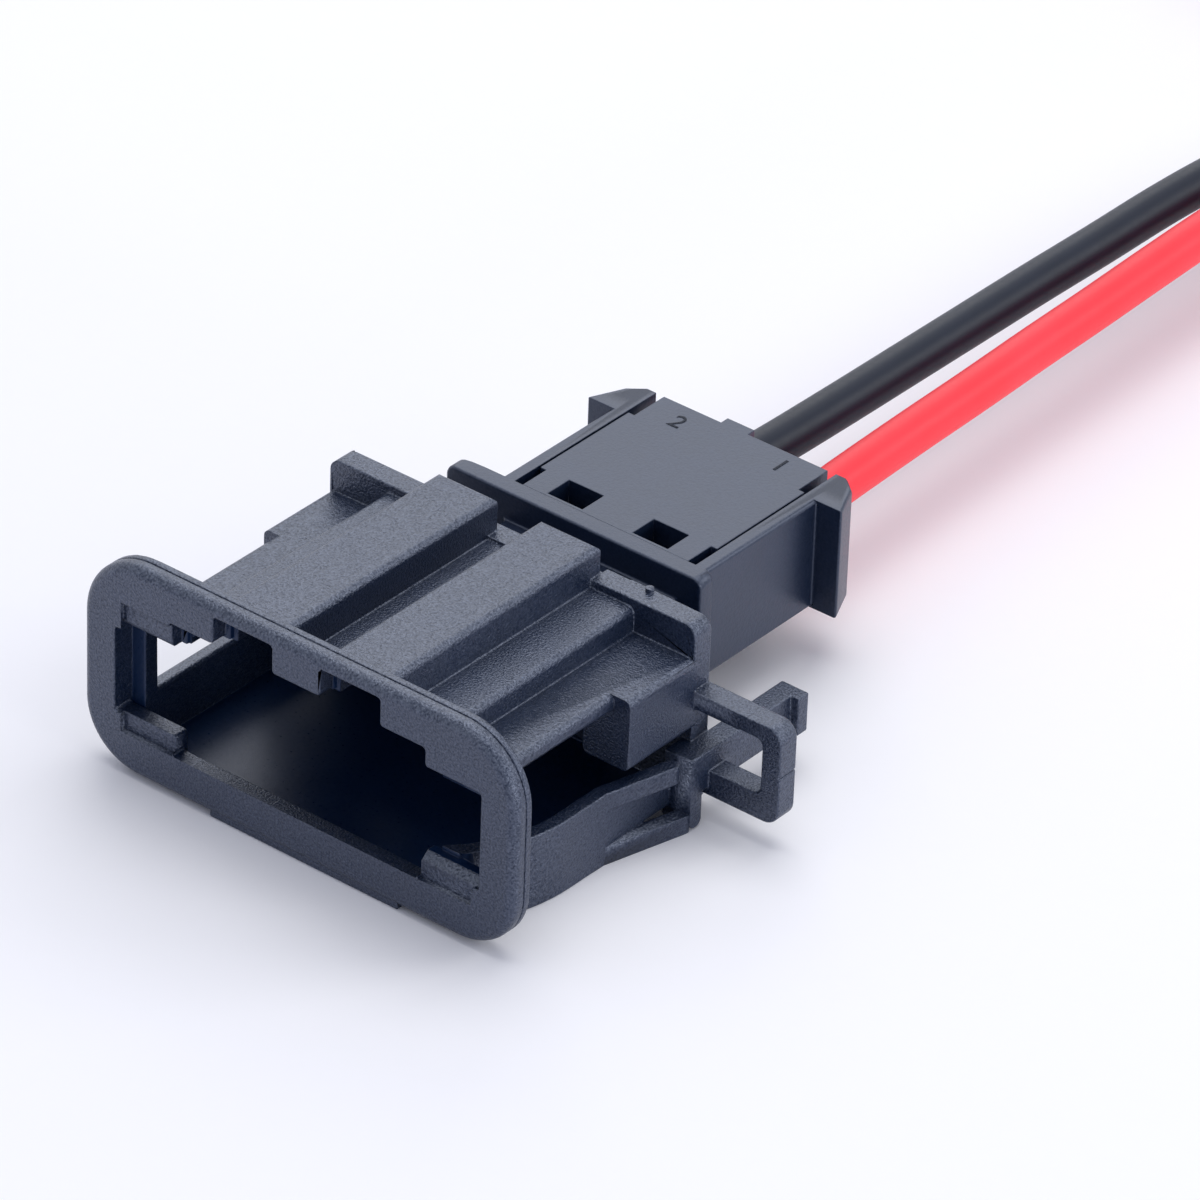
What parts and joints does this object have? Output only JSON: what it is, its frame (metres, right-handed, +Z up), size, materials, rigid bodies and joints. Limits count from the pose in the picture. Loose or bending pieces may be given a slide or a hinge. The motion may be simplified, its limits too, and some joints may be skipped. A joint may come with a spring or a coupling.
{
  "type": "two-way automotive plug",
  "caption": "Black moulded automotive wiring plug with a flanged keyed mouth, hollow top ribs, a side loop and hook, and a contact carrier with a black and a red lead.",
  "frame": {"origin": "middle of the plug's box without its leads, at the surface it lies on", "axes": "+X along the flange to the side with the loop, +Y from the mouth to the leads, +Z up through the ribs"},
  "size_m": [0.0397, 0.1214, 0.0114],
  "materials": {
    "grained_plastic": "black glass-filled nylon with a spark-eroded grain",
    "carrier_plastic": "black nylon with a smooth satin face",
    "tinned_brass": "stamped brass with a bright tin plating",
    "black_pvc": "glossy black PVC insulation",
    "red_pvc": "glossy red PVC insulation",
    "nylon_tie": "natural nylon"
  },
  "bodies": {
    "root": {"shroud": "grained_plastic", "contact_carrier": "carrier_plastic", "lock_cover": "carrier_plastic", "left_terminal": "tinned_brass", "right_terminal": "tinned_brass", "black_wire": "black_pvc", "red_wire": "red_pvc", "wire_coil": "red_pvc", "coil_tie": "nylon_tie"}
  },
  "joints": []
}
